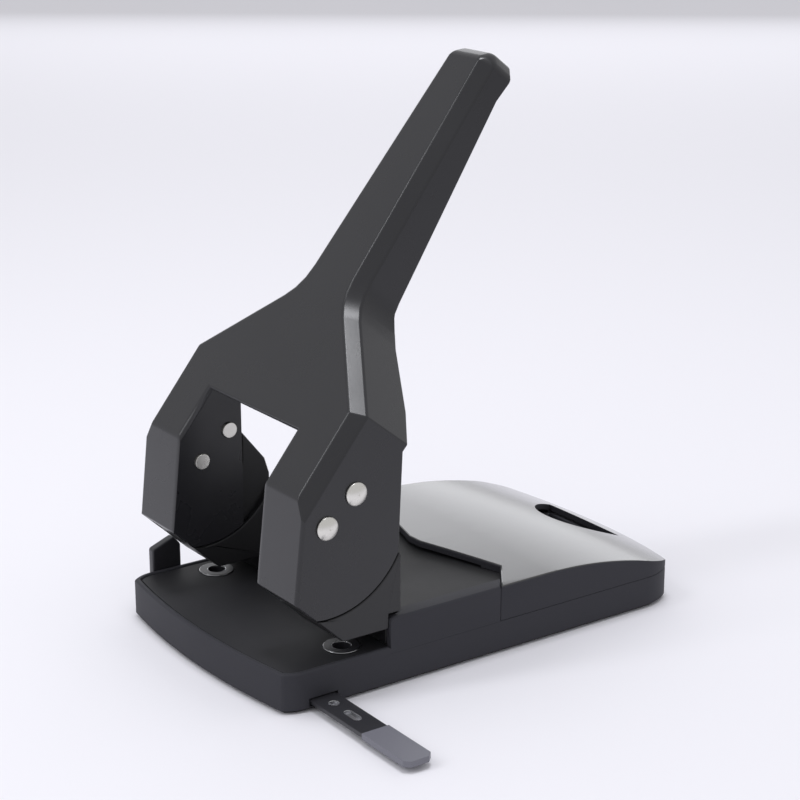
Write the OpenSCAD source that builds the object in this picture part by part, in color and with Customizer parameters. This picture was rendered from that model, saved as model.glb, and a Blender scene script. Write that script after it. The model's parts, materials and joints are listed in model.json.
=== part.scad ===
/* [Hole pattern] */
// Distance between the two hole centres
hole_spacing = 80; // [70:1:90]
// Diameter of a punched hole
hole_d = 6; // [5:0.1:7]
// Hole centre to the edge of the paper
hole_margin = 12; // [10:0.5:14]
// Height of the paper gap over the dies
throat_gap = 6.3; // [5.5:0.1:8]

/* [Base] */
// Base reaches this far past each hole centre
base_side = 11; // [10.8:0.1:16]
// Hole line to the foremost point of the bowed front
base_front = 32.7; // [30:0.1:40]
// Bow of the front edge
front_bow = 4.7; // [2:0.1:8]
// Hole line to the rearmost point of the bowed rear
base_rear = 143; // [135:1:160]
// Bow of the rear edge
rear_bow = 9; // [5:0.5:14]
// Corner radius at the front
front_corner_r = 12; // [8:0.5:16]
// Corner radius at the rear
rear_corner_r = 20; // [12:0.5:26]
// Thickness of the rubber pad under the base
pad_t = 1.2; // [0.8:0.1:1.5]
// Pad edge set in from the base edge
pad_inset = 1.5; // [0.5:0.1:4]
// Top of the seam between base shell and rear cover
seam_z = 11.7; // [11.5:0.1:12.5]
// Rim stands this far above the paper table
rim_lip = 0.4; // [0.2:0.1:0.8]
// Width of the rim
rim_w = 2; // [1.5:0.1:3]
// Wall between the guide's way and the drawer's bay
bay_wall = 2.2; // [1.8:0.1:3]

/* [Paper table] */
// Top of the paper table
table_z = 13.6; // [13.4:0.1:14.4]
// Thickness of the paper table
table_t = 3; // [2.4:0.1:3.2]
// Table runs this far behind the paper stop
table_tail = 24; // [22:0.5:28]
// Diameter of the die
die_d = 12.5; // [11:0.5:16]
// Thickness of the die
die_t = 3.9; // [3.4:0.1:4]
// Die stands this far above the table
die_lip = 0.3; // [0.1:0.1:0.5]

/* [Deck and rear cover] */
// Top of the deck
deck_z = 21.8; // [21:0.1:22.4]
// Deck sheet thickness
deck_t = 1.8; // [1.2:0.1:2]
// Width of the rail beside the deck
rail_w = 6; // [5:0.1:7]
// Hole line to the foremost edge of the cover's lip
lip_y = 57.8; // [50:0.1:62]
// Half width of the lip's foremost edge
lip_flat = 3; // [2:0.5:12]
// Half width between the lip's corners
lip_half = 36.8; // [32:0.1:40]
// Lip's corners lie this far behind its foremost edge
lip_rake = 10; // [8:0.5:14]
// Half width of the gap under the lip
lip_gap = 29; // [24:0.5:34]
// Hole line to the front of the cover's wings
wing_y = 57.3; // [54:0.1:62]
// Deck runs this far under the lip
lip_lap = 3; // [2:0.5:5]
// Hole line to where the cover starts to fall
crest_y = 78; // [70:1:90]
// Highest point of the cover
crest_z = 25.2; // [25:0.1:27]
// Radius of the cover's fall towards the rear
fall_r = 172; // [165:1:220]
// Radius of the cover's crown from side to side
crown_r = 1300; // [900:10:2000]
// Wall of the cover
cover_wall = 2.2; // [1.8:0.1:2.4]
// Length of the finger slot
slot_w = 40; // [30:1:46]
// Depth of the finger slot's bow
slot_d = 18; // [12:0.5:20]
// Rear edge to the finger slot
slot_edge = 6.5; // [5:0.5:8]
// Solid rails run this far behind the lip
rail_tail = 10; // [6:0.5:16]
// Table's rear edge to the first pair of cover screws
cover_screw_tail = 8; // [6:0.5:12]
// Crest to the end of a cover screw
cover_screw_cap = 6; // [5:0.5:8]
// Diameter of the cover screws
cover_screw_d = 3; // [2.5:0.5:3.5]

/* [Lever] */
// Lean of the handle from upright, degrees
lean = 38.6; // [36:0.2:41]
// Lean of the legs from upright, degrees
leg_lean = 6.4; // [5:0.2:8]
// Fold between leg and web, measured back from the hole line
fold_y = -20.2; // [-21:0.1:-19.8]
// Height of the fold
fold_z = 71.2; // [70.5:0.1:73]
// Height of the lower edge of the legs
leg_z = 37.1; // [35:0.1:40]
// Outer face of a leg past the hole centre
leg_out = 10.5; // [10:0.1:10.6]
// Inner face of a leg before the hole centre
leg_in = 13; // [12.6:0.1:15]
// Wall of the lever
lever_wall = 2.2; // [1.8:0.1:2.4]
// Fold to the shoulder corner, along the web
shoulder_s = 27.2; // [24:0.1:34]
// Fold to the top of the arch, along the web
arch_s = 19.3; // [16:0.1:22]
// Fold to the neck, along the web
neck_s = 64; // [60:0.5:72]
// Fold to the end of the handle, along the web
handle_s = 162.5; // [150:0.5:180]
// Half width of the handle's front face at the neck
neck_half = 11.9; // [10:0.1:15]
// Half width of the handle's front face at the end
tip_half = 8; // [7:0.1:12]
// Bevel round the front face
bevel = 4.1; // [2:0.1:4.5]
// Blend between shoulder and handle, along each edge
neck_blend = 8; // [4:0.5:10]
// Neck to the root of the handle
root_len = 6; // [4:0.5:10]
// Handle's end to where it is slimmest
waist_len = 13.5; // [10:0.5:20]
// Neck to where the handle turns solid
solid_len = 6; // [4:0.5:8]
// Handle's root runs this far into the shoulders
handle_root = 12; // [8:0.5:16]
// Depth of the lever at the neck
neck_depth = 21.6; // [19:0.1:24]
// Depth of the handle at its root
root_depth = 19; // [17:0.1:20.5]
// Depth of the handle where it is slimmest
waist_depth = 12.4; // [11:0.1:14]
// Depth of the handle at its end
tip_depth = 14; // [12:0.1:17]
// Shoulder corner to the upper bend of the flanges' rear edge
flange_bend = 15; // [10:0.5:18]
// Upper bend of the flanges lies this far behind the neck's depth
flange_swell = 3; // [0.5:0.1:4]
// Rear edge of the side flanges at the shoulder
flange_top_y = 17.2; // [16.5:0.1:20]
// Fold to the rear corner of the side flanges, upwards
flange_top_rise = 8.8; // [5:0.1:10]
// Rear edge of the side flanges at the pivot
flange_low_y = 15.7; // [14:0.1:16.5]
// Pivot to the lower bend of the flanges' rear edge, downwards
flange_low_drop = 9.9; // [8:0.1:12]
// Flanges' rear edge comes forward this far at its foot
flange_taper = 1.2; // [0.5:0.1:2]
// Flanges' lower arc past the foot of the leg
flange_drop = 4.7; // [3.5:0.1:5.5]
// Rear edge of the inner flanges
inner_flange_y = 4; // [3.5:0.1:7]
// Fold to the top of the inner flanges' rear cut, upwards
inner_flange_rise = 16; // [14:0.5:18]
// Inner flanges run this far up behind the web over the arch
inner_flange_lap = 8; // [4:0.5:10]
// Swing of the lever from upright to pressed, degrees
swing = 46; // [30:1:47]

/* [Pins] */
// Pivot, measured back from the hole line
pivot_y = -12.1; // [-12.6:0.1:-11.8]
// Height of the pivot
pivot_z = 60.6; // [60:0.1:61]
// Drive pin, measured back from the hole line
drive_y = -1.1; // [-1.5:0.1:0]
// Height of the drive pin
drive_z = 69.8; // [69:0.1:70.4]
// Diameter of the pins
pin_d = 5.5; // [5:0.1:5.8]
// Diameter of a pin head
pin_head_d = 7.8; // [7:0.1:9]
// Height of a pin head
pin_head_h = 2; // [1.2:0.1:2.6]
// Pin end stands this far past the inner flange
pin_tail = 0.9; // [0.5:0.1:2]
// Wall of the pivot bush
bush_wall = 1.3; // [1:0.1:1.5]
// Head metal round the pivot bush
boss_wall = 2.1; // [1.6:0.1:2.4]

/* [Head] */
// Jaw's lower edge, degrees below level
mouth_slope = 43.3; // [40:0.1:48]
// Rear face of the head
head_back = 16.5; // [16:0.1:17.5]
// Rear end of the head's foot
foot_back = 32; // [30:0.5:34]
// Gap between the head's front and the legs
head_front_gap = 1.2; // [0.9:0.1:1.5]
// Front of the head reaches this far below the legs
head_toe = 2.6; // [1.5:0.1:3.5]
// Drive pin's centre to the top of the head, downwards
head_top_drop = 0.8; // [0.5:0.1:1.2]
// Drive pin's centre to the brow at the head's rear, downwards
brow_drop = 14.1; // [12:0.1:16]
// Depth of the brow's chamfer
brow_in = 1.8; // [1:0.1:2.5]
// Height of the brow's chamfer
brow_h = 5.7; // [4:0.1:7]
// Pivot to the top of the jaw at its rear, downwards
jaw_drop = 15; // [13:0.5:18]
// Diameter of the stop pads
stop_pad_d = 7; // [5:0.5:9]
// Foot of the legs to the middle of the stop pads
stop_pad_rise = 7.5; // [6:0.5:9]
// Height of the spring seat
seat_z = 36; // [34:0.5:40]
// Diameter of the head screws
head_screw_d = 4; // [3:0.5:4.5]
// Paper stop to the first head screw
head_screw_first = 7.5; // [7:0.5:9]
// Pitch of the head screws
head_screw_pitch = 7.5; // [7:0.5:8]

/* [Punch] */
// Punch tip above the jaw's mouth when raised
tip_rise = 0.8; // [0.5:0.1:1.5]
// Yoke block across
yoke_w = 11; // [10:0.1:12]
// Yoke metal in front of and behind the pin slot
yoke_end = 2.35; // [2:0.05:2.6]
// Yoke metal above and below the pin slot
yoke_cap = 3.6; // [3:0.1:4]
// Wire of the return spring
wire_d = 1.1; // [0.8:0.1:1.3]
// Mean diameter of the return spring
coil_d = 8.6; // [8:0.1:9]
// Turns of the return spring
coils = 7; // [5:1:9]

/* [Paper guide] */
// Width of the guide bar
bar_w = 9.8; // [8:0.1:11]
// Thickness of the guide bar
bar_t = 1.6; // [1.2:0.1:2]
// Middle of the guide bar, measured back from the hole line
bar_y = -14.3; // [-15:0.1:-14]
// Underside of the guide bar
bar_z = 2.2; // [2.1:0.1:2.5]
// Bar stands this far out of the base on the right
bar_out = 53; // [40:1:70]
// Base edge to the round hole in the bar
bar_hole_x = 6; // [4:0.5:9]
// Diameter of the round hole in the bar
bar_hole_d = 3.7; // [2.5:0.1:4.5]
// Base edge to the slot in the bar
bar_slot_x = 14; // [12:0.5:18]
// Length of the slot between the centres of its ends
bar_slot_len = 5; // [3:0.5:8]
// Width of the slot in the bar
bar_slot_w = 2.9; // [2:0.1:4]
// Wall of the pull tab round the bar
tab_wall = 0.3; // [0.2:0.05:0.4]
// Length of the pull tab at the bar's end
tab_len = 24; // [15:1:30]
// Tab runs this far past the end of the bar
tab_end = 4; // [2.5:0.5:6]
// Corner cut of the tab's nose
tab_nose = 2; // [1:0.1:3]
// Thickness of the upright stop
stop_t = 3.4; // [2.5:0.1:5]
// Length of the upright stop
stop_len = 11.4; // [10:0.1:14]
// Height of the upright stop at its front
stop_front_z = 21.6; // [16:0.1:23]
// Height of the upright stop at its rear
stop_rear_z = 25; // [18:0.1:27]
// Diameter of the stop's rivets
rivet_d = 1.6; // [1.2:0.1:2]
// Length of the stop's rivets
rivet_len = 6; // [4:0.5:8]
// Length of the spring clip on the bar
clip_len = 16; // [12:0.5:20]
// Sheet of the spring clip
clip_t = 0.5; // [0.3:0.05:0.7]
// Rise of the spring clip over the bar's way
clip_rise = 1.6; // [1.2:0.1:1.8]

/* [Chip drawer] */
// Half width of the drawer past the hole centre
drawer_side = 5; // [4.5:0.1:5.2]
// Wall of the drawer
drawer_wall = 1.5; // [1.2:0.1:2]
// Top of the drawer's walls
drawer_z = 9.6; // [9:0.1:10]
// Top of the base floor under the drawer
floor_z = 3.4; // [3.2:0.1:3.6]

/* [Fits] */
// Clearance beside sliding and swinging faces
side_gap = 0.4; // [0.3:0.05:0.6]
// Radial clearance of pins and rods
run_gap = 0.05; // [0.02:0.01:0.1]
// Clearance round the sliding guide and drawer
slide_gap = 0.3; // [0.25:0.05:0.4]
// Clearance round pieces that only sit in place
seat_gap = 0.2; // [0.1:0.05:0.3]

/* [Hidden] */
$fn = 96;
// Facets of a full turn on the large, shallow arcs
big_fn = 720;

eps = 0.01;
far = 400;
hole_x = hole_spacing / 2;
base_half = hole_x + base_side;
leg_x = hole_x + leg_out;
arch_x = hole_x - leg_in;
head_x0 = arch_x + lever_wall + side_gap;
head_x1 = leg_x - lever_wall - side_gap;
jaw_x0 = arch_x + side_gap / 2;
jaw_x1 = leg_x - side_gap / 2;

rim_z = table_z + rim_lip;
table_seat = table_z - table_t;
table_back = hole_margin + table_tail;
die_z = table_z + die_lip;
throat_z = die_z + throat_gap;
deck_seat = deck_z - deck_t;
rail_x = base_half - rail_w;
deck_half = rail_x - side_gap;
bay_half = hole_x + drawer_side + side_gap;
bay_front = bar_y + bar_w / 2 + bay_wall;

// Bow radii from a half width and a sagitta
function bow_r(half, sag) = (half * half + sag * sag) / (2 * sag);
front_r = bow_r(base_half, front_bow);
rear_r = bow_r(base_half, rear_bow);
lip_back = lip_y + lip_rake;
slot_r = bow_r(slot_w / 2, slot_d);
// Turn of the cover's fall that reaches past the rear edge
fall_sweep = asin((base_rear - crest_y) / (fall_r - crest_z));

// Point of the lever's side view at distance s up the web and depth d behind its front face, as [y, z]
function web(s, d) = [fold_y + s * sin(lean) + d * cos(lean), fold_z + s * cos(lean) - d * sin(lean)];
leg_foot = [fold_y - (fold_z - leg_z) * tan(leg_lean), leg_z];
// Inside corner of the fold, one wall behind both faces
web_in = [cos(lean), -sin(lean)];
leg_in_dir = [cos(leg_lean), -sin(leg_lean)];
function fold_in(w) = [fold_y, fold_z] + w * (web_in + leg_in_dir) / (1 + web_in * leg_in_dir);
// Point of the leg's face at height z and depth w
function leg_at(z, w) = let (p = fold_in(w)) [p[0] - (p[1] - z) * tan(leg_lean), z];
// Mouth line from the foot of the leg, down and back to height z
function mouth_at(z) = [leg_foot[0] + (leg_foot[1] - z) / tan(mouth_slope), z];

// Shoulder edge moved out by b
shoulder_run = [leg_x - neck_half, shoulder_s - neck_s];
shoulder_len = norm(shoulder_run);
shoulder_out = [-shoulder_run[1], shoulder_run[0]] / shoulder_len;
function shoulder_at(x, b) = let (p = [neck_half, neck_s] + b * shoulder_out)
    p[1] + (x - p[0]) * shoulder_run[1] / shoulder_run[0];
handle_slope = (neck_half - tip_half) / (handle_s - bevel - neck_s);
function handle_half(s, b) = neck_half + b - (s - neck_s) * handle_slope;

// Corner between shoulder and handle, both moved out by b, and the points of the blend across it
neck_steps = 3;
shoulder_slope = shoulder_run[1] / shoulder_run[0];
function neck_corner(b) = let (s = (shoulder_at(handle_half(0, b), b)) / (1 + handle_slope * shoulder_slope))
    [handle_half(s, b), s];
function neck_point(b, i) =
    let (t = i / neck_steps,
         up = [-handle_slope, 1] / norm([handle_slope, 1]),
         down = shoulder_run / shoulder_len)
    neck_corner(b) + neck_blend * ((1 - t) * (1 - t) * down + t * t * up);

// Drive pin's arc about the pivot
drive_arm = [drive_y - pivot_y, drive_z - pivot_z];
drive_r = norm(drive_arm);
drive_a = atan2(drive_arm[1], drive_arm[0]);
function drive_at(t) = [pivot_y + drive_r * cos(drive_a - t), pivot_z + drive_r * sin(drive_a - t)];
travel = drive_z - drive_at(swing)[1];
drive_far_y = pivot_y + (swing > drive_a ? drive_r : drive_r * cos(drive_a - swing));
drive_mid_y = (drive_y + drive_far_y) / 2;
slot_slack = 0.5;
slot_len = drive_far_y - drive_y + pin_d + 2 * slot_slack;
slot_h = pin_d + 2 * slot_slack;
yoke_d = slot_len + 2 * yoke_end;
yoke_h = slot_h + 2 * yoke_cap;
yoke_z = drive_z - yoke_h / 2;
punch_tip_z = throat_z + tip_rise;

// Lower edge of the flanges, an arc about the pivot, and the head's shoulder just outside it
flange_r = norm(leg_foot - [pivot_y, pivot_z]) + flange_drop;
pivot_boss_r = pin_d / 2 + bush_wall + boss_wall;

slot_y = base_rear - slot_edge - slot_d;
cover_screw_top = crest_z - cover_screw_cap;
screw_head_h = head_screw_d * 0.7;
bar_x1 = base_half + bar_out;
stop_x = -base_half - side_gap;

// Return spring: centre line, rings of the wire and the faces between them
ring_sides = 6;
rings_per_coil = 8;
spring_low = seat_z + wire_d / 2 + run_gap;
spring_high = yoke_z - wire_d / 2 - run_gap;
spring_rings = coils * rings_per_coil;
coil_pitch = (spring_high - spring_low) / coils;
coil_rise = atan(coil_pitch / (PI * coil_d));
function coil_point(i) = let (a = 360 * i / rings_per_coil)
    [coil_d / 2 * cos(a), coil_d / 2 * sin(a), spring_low + coil_pitch * i / rings_per_coil];
function wire_point(i, k) =
    let (a = 360 * i / rings_per_coil,
         b = 360 * k / ring_sides,
         outward = [cos(a), sin(a), 0],
         upward = [sin(a) * sin(coil_rise), -cos(a) * sin(coil_rise), cos(coil_rise)])
    coil_point(i) + wire_d / 2 * (cos(b) * outward + sin(b) * upward);
spring_points = [for (i = [0:spring_rings], k = [0:ring_sides - 1]) wire_point(i, k)];
function ring_index(i, k) = i * ring_sides + k % ring_sides;
spring_faces = concat(
    [for (k = [1:ring_sides - 2]) [0, k, k + 1]],
    [for (i = [0:spring_rings - 1], k = [0:ring_sides - 1])
        [ring_index(i, k), ring_index(i + 1, k), ring_index(i, k + 1)]],
    [for (i = [0:spring_rings - 1], k = [0:ring_sides - 1])
        [ring_index(i, k + 1), ring_index(i + 1, k), ring_index(i + 1, k + 1)]],
    [for (k = [1:ring_sides - 2])
        [ring_index(spring_rings, 0), ring_index(spring_rings, k + 1), ring_index(spring_rings, k)]]);
spring_gap = min([for (i = [0:spring_rings - rings_per_coil + 1], j = [i + rings_per_coil - 1:spring_rings])
    norm(coil_point(i) - coil_point(j))]) - wire_d;

echo(least_spring_gap = spring_gap);
echo(punch_travel = travel, metres_per_radian = travel / (swing * PI / 180) / 1000);

// Bodies shared by several pieces
module rounded_plan(inset) {
    half = base_half - inset;
    front = -base_front + inset;
    rear = base_rear - inset;
    fr = front_corner_r - inset;
    rr = rear_corner_r - inset;
    translate([-half, front + fr]) square([2 * half, rear - rr - front - fr]);
    translate([-half + fr, front]) square([2 * (half - fr), 2 * fr]);
    translate([-half + rr, rear - 2 * rr]) square([2 * (half - rr), 2 * rr]);
    for (side = [-1, 1]) {
        translate([side * (half - fr), front + fr]) circle(r = fr);
        translate([side * (half - rr), rear - rr]) circle(r = rr);
    }
}

module base_plan(inset = 0) {
    intersection() {
        rounded_plan(inset);
        translate([0, front_r - base_front]) circle(r = front_r - inset, $fn = big_fn);
        translate([0, base_rear - rear_r]) circle(r = rear_r - inset, $fn = big_fn);
    }
}

module slab(z0, z1, inset = 0) {
    translate([0, 0, z0]) linear_extrude(z1 - z0) base_plan(inset);
}

module block(x0, x1, y0, y1, z0, z1) {
    translate([x0, y0, z0]) cube([x1 - x0, y1 - y0, z1 - z0]);
}

module rod(x0, x1, y, z, d) {
    translate([x0, y, z]) rotate([0, 90, 0]) cylinder(d = d, h = x1 - x0);
}

// A side view drawn in [y, z], given thickness along x
module side_view(x0, x1) {
    translate([x0, 0, 0]) rotate([90, 0, 90]) linear_extrude(x1 - x0) children();
}

module at_side(side) {
    if (side > 0) children();
    else mirror([1, 0, 0]) children();
}

// Fixed pieces
module base_shell() {
    color("#232325") difference() {
        union() {
            slab(pad_t, seam_z);
            intersection() {
                slab(pad_t, rim_z);
                block(-far, far, -far, hole_margin, 0, far);
            }
        }
        intersection() {
            slab(table_seat, far, rim_w);
            block(-far, far, -far, table_back + seat_gap, 0, far);
        }
        block(-bay_half, bay_half, bay_front, far, floor_z, far);
        guide_way(-far, far, 0);
        clip_pocket();
        cover_screw_holes();
        for (side = [-1, 1]) die_pocket(side);
    }
}

module base_pad() {
    color("#2a2a2c") slab(0, pad_t, pad_inset);
}

module table_plate() {
    color("#1b1b1d") difference() {
        intersection() {
            slab(table_seat, table_z, rim_w + seat_gap);
            block(-far, far, -far, table_back, 0, far);
        }
        for (side = [-1, 1]) {
            die_pocket(side);
            at_side(side) at_head_screws() head_screw(seat_gap / 2, -eps);
        }
    }
}

module die_pocket(side) {
    translate([side * hole_x, 0, die_z - die_t]) cylinder(d = die_d + 2 * run_gap, h = far);
}

module die(side) {
    color("#c9cbcd") translate([side * hole_x, 0, 0]) difference() {
        translate([0, 0, die_z - die_t]) cylinder(d = die_d, h = die_t);
        translate([0, 0, die_z - die_t - 1]) cylinder(d = hole_d + 2 * run_gap, h = die_t + 2);
        translate([0, 0, die_z - die_t - 1]) cylinder(d = hole_d + 1, h = die_t / 2);
    }
}

module head_side_view() {
    front = leg_at(pivot_z - pivot_boss_r, lever_wall + head_front_gap);
    toe = leg_at(leg_z - head_toe, lever_wall + head_front_gap);
    boss_top = [pivot_y, pivot_z + pivot_boss_r];
    top = [inner_flange_y, drive_z - head_top_drop];
    brow = [head_back - brow_in, drive_z - brow_drop];
    polygon([mouth_at(throat_z), toe, front, boss_top, top, brow, [head_back, drive_z - brow_drop - brow_h],
             [head_back, throat_z]]);
}

module jaw_side_view() {
    difference() {
        polygon([mouth_at(throat_z), mouth_at(leg_z), [pivot_y, pivot_z], [head_back, pivot_z - jaw_drop],
                 [head_back, throat_z]]);
        translate([pivot_y, pivot_z]) circle(r = flange_r + side_gap);
    }
}

module head(side) {
    color("#202022") at_side(side) difference() {
        union() {
            side_view(head_x0, head_x1) head_side_view();
            rod(head_x0, head_x1, pivot_y, pivot_z, 2 * pivot_boss_r);
            side_view(jaw_x0, jaw_x1) jaw_side_view();
            block(jaw_x0, head_x1, hole_margin, head_back, table_z, throat_z + eps);
            block(head_x0, deck_half, hole_margin, foot_back, table_z, deck_seat);
        }
        block(head_x1, far, hole_margin - seat_gap, far, 0, crest_z + seat_gap);
        pocket_half = yoke_w / 2 + run_gap * 2;
        block(hole_x - pocket_half, hole_x + pocket_half, drive_mid_y - yoke_d / 2 - 2 * run_gap,
              drive_mid_y + yoke_d / 2 + 2 * run_gap, seat_z, far);
        translate([hole_x, 0, 0]) cylinder(d = hole_d + 2 * run_gap, h = seat_z + 1);
        drive_slot();
        rod(head_x0 - 1, head_x1 + 1, pivot_y, pivot_z, pin_d + 2 * run_gap + 2 * bush_wall);
        at_head_screws() head_screw(seat_gap / 2, -eps);
    }
}

// Way for the drive pin through the head's walls, open at the top
module drive_slot() {
    slack = pin_d / 2 + slot_slack;
    low = drive_at(swing)[1];
    block(head_x0 - 1, head_x1 + 1, drive_y - slack, drive_far_y + slack, low - slack, far);
}

// Places of the right-hand head screws, one behind the other
module at_head_screws() {
    for (i = [0, 1])
        translate([hole_x, hole_margin + head_screw_first + i * head_screw_pitch, 0]) children();
}

// Screw whose head lies in the head's foot, grown by a gap and ending a drop below the foot's top
module head_screw(gap, drop) {
    translate([0, 0, table_seat]) cylinder(d = head_screw_d + 2 * gap, h = deck_seat - table_seat - drop);
    translate([0, 0, deck_seat - screw_head_h])
        cylinder(d = head_screw_d * 1.6 + 2 * gap, h = screw_head_h - drop);
}

module head_screws() {
    color("#8d8f92") for (side = [-1, 1]) at_side(side) at_head_screws() difference() {
        head_screw(0, seat_gap);
        translate([0, 0, deck_seat - screw_head_h / 2])
            cylinder(d = head_screw_d * 0.8, h = screw_head_h, $fn = 6);
    }
}

module pivot_bush(side) {
    color("#9a7b3c") at_side(side) difference() {
        rod(head_x0, head_x1, pivot_y, pivot_z, pin_d + 2 * run_gap + 2 * bush_wall);
        rod(head_x0 - 1, head_x1 + 1, pivot_y, pivot_z, pin_d + 2 * run_gap);
    }
}

module stop_pad(side) {
    mid = leg_at(leg_z + stop_pad_rise, lever_wall + head_front_gap);
    color("#2f2f31") at_side(side) translate([hole_x, mid[0], mid[1]]) rotate([90 - leg_lean, 0, 0])
        cylinder(d = stop_pad_d, h = head_front_gap - slide_gap);
}

module deck_plate() {
    color("#262628") difference() {
        union() {
            block(-deck_half, deck_half, hole_margin, lip_back + lip_lap, deck_seat, deck_z);
            block(-jaw_x0 + seat_gap, jaw_x0 - seat_gap, hole_margin, hole_margin + deck_t, table_z, deck_z);
        }
        for (side = [-1, 1]) at_side(side)
            block(jaw_x0 - seat_gap, far, 0, head_back + seat_gap, 0, far);
    }
}

// Cross-section of the crown, drawn in [x, z] with z measured from low
module crown_profile(w, low) {
    intersection() {
        translate([-base_half, -low]) square([2 * base_half, crest_z - w]);
        translate([0, crest_z - crown_r - low]) circle(r = crown_r - w, $fn = big_fn);
    }
}

// Crowned body of the cover, its walls set in by w
module cover_body(w) {
    intersection() {
        slab(seam_z, crest_z + 1, w);
        union() {
            translate([0, crest_y + eps, 0]) rotate([90, 0, 0]) linear_extrude(far) crown_profile(w, 0);
            translate([0, crest_y, crest_z - fall_r]) rotate([0, -90, 0])
                rotate_extrude(angle = fall_sweep, $fn = big_fn)
                    rotate(-90) crown_profile(w, crest_z - fall_r);
        }
    }
}

// Everything behind the raked lip and the wings, moved forward by gap
module behind_lip(gap) {
    wing_slope = (lip_back - wing_y) / (base_half - lip_half);
    wing_end = [far, wing_y - (far - base_half) * wing_slope];
    linear_extrude(far) translate([0, -gap])
        polygon(both_sides([[far, far], wing_end, [lip_half, lip_back], [lip_flat, lip_y]]));
}

module rear_cover() {
    color("#1a1a1c") difference() {
        intersection() {
            cover_body(0);
            behind_lip(0);
        }
        intersection() {
            cover_body(cover_wall);
            union() {
                block(-lip_gap, lip_gap, -far, far, 0, far);
                block(-far, far, lip_back + rail_tail, far, 0, far);
            }
        }
        block(-rail_x, rail_x, -far, lip_back + rail_tail, 0, deck_z + seat_gap);
        block(-bay_half, bay_half, -far, far, 0, seam_z + eps);
        finger_slot(0);
        cover_screw_holes();
    }
}

// Rail beside the deck, from the head back to the cover's wing
module rail(side) {
    color("#232325") at_side(side) difference() {
        intersection() {
            cover_body(0);
            block(rail_x, far, hole_margin, far, 0, far);
        }
        behind_lip(seat_gap);
        block(0, head_x1 + seat_gap, -far, head_back + seat_gap, 0, far);
        intersection() {
            slab(0, table_z + seat_gap, rim_w);
            block(-far, far, -far, table_back + seat_gap, 0, far);
        }
        cover_screw_holes();
    }
}

// Finger slot through the cover and down into the drawer, bowed at the front and straight at the rear
module finger_slot(z) {
    intersection() {
        translate([0, slot_y + slot_r, z]) cylinder(r = slot_r, h = far, $fn = big_fn);
        block(-far, far, 0, slot_y + slot_d, z, far);
    }
}

module at_cover_screws() {
    for (side = [-1, 1], y = [table_back + cover_screw_tail, lip_back])
        translate([side * (base_half - rail_w / 2), y, 0]) children();
}

module cover_screw_holes() {
    at_cover_screws() {
        cylinder(d = cover_screw_d + seat_gap, h = cover_screw_top + seat_gap);
        cylinder(d = cover_screw_d * 1.5 + seat_gap, h = pad_t + cover_screw_d * 0.7);
    }
}

module cover_screws() {
    color("#8d8f92") at_cover_screws() translate([0, 0, pad_t]) {
        cylinder(d = cover_screw_d, h = cover_screw_top - pad_t);
        cylinder(d = cover_screw_d * 1.5, h = cover_screw_d * 0.7);
    }
}

// Way for the guide bar and its tab, with h more height
module guide_way(x0, x1, h) {
    gap = tab_wall + slide_gap;
    block(x0, x1, bar_y - bar_w / 2 - gap, bar_y + bar_w / 2 + gap, bar_z - gap, bar_z + bar_t + gap + h);
}

module clip_pocket() {
    guide_way(hole_x / 2 - clip_len / 2 - 1, hole_x / 2 + clip_len / 2 + 1, clip_rise);
}

// Leaf that presses on the guide bar, bent down in the middle
module guide_clip() {
    top = bar_z + bar_t + tab_wall + slide_gap + clip_rise;
    low = bar_z + bar_t + tab_wall + slide_gap;
    half = clip_len / 2;
    bend = clip_len / 4;
    color("#a9abad") translate([hole_x / 2, bar_y + bar_w / 4, 0]) rotate([90, 0, 0])
        linear_extrude(bar_w / 2) polygon(concat(
            [[-half, top], [-half, top - clip_t], [-bend, top - clip_t], [-clip_t, low]],
            [[clip_t, low], [bend, top - clip_t], [half, top - clip_t], [half, top]],
            [[bend - clip_t / 2, top], [clip_t / 2, low + clip_t]],
            [[-clip_t / 2, low + clip_t], [-bend + clip_t / 2, top]]));
}

// Lever
module on_web() {
    translate([0, fold_y, fold_z]) rotate([90 - lean, 0, 0]) children();
}

module web_plate(points, z0, z1) {
    translate([0, 0, z0]) linear_extrude(z1 - z0) polygon(points);
}

function both_sides(half) = concat(half, [for (i = [len(half) - 1:-1:0]) [-half[i][0], half[i][1]]]);

// Fork and shoulders with the bevel, walls set in by w
module shoulder_body(w) {
    low = -leg_z * 2;
    x = leg_x - w;
    b = bevel - w;
    edge = x - bevel;
    neck = neck_half;
    front = both_sides([[edge, low], [edge, shoulder_at(edge, -w)], [neck, shoulder_at(neck, -w)]]);
    back = both_sides([[x, low], [x, shoulder_at(x, b)], [neck + b, shoulder_at(neck + b, b)]]);
    hull() {
        web_plate(front, -w - eps, -w);
        web_plate(back, -far / 4, -bevel - w * 0.4);
    }
}

module handle_body() {
    low = neck_s - handle_root;
    top = handle_s - bevel;
    hull() {
        web_plate(both_sides([[handle_half(low, 0), low], [handle_half(top, 0), top]]), -eps, 0);
        web_plate(both_sides([[handle_half(low, bevel), low], [handle_half(top, bevel), top],
                              [handle_half(top, 0), handle_s]]), -far / 4, -bevel);
    }
}

// Concave blend between the shoulders and the handle, with the bevel
module neck_body() {
    for (i = [0:neck_steps - 1]) hull() {
        web_plate(both_sides([neck_point(0, i), neck_point(0, i + 1)]), -eps, 0);
        web_plate(both_sides([neck_point(bevel, i), neck_point(bevel, i + 1)]), -far / 4, -bevel);
    }
}

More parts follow.
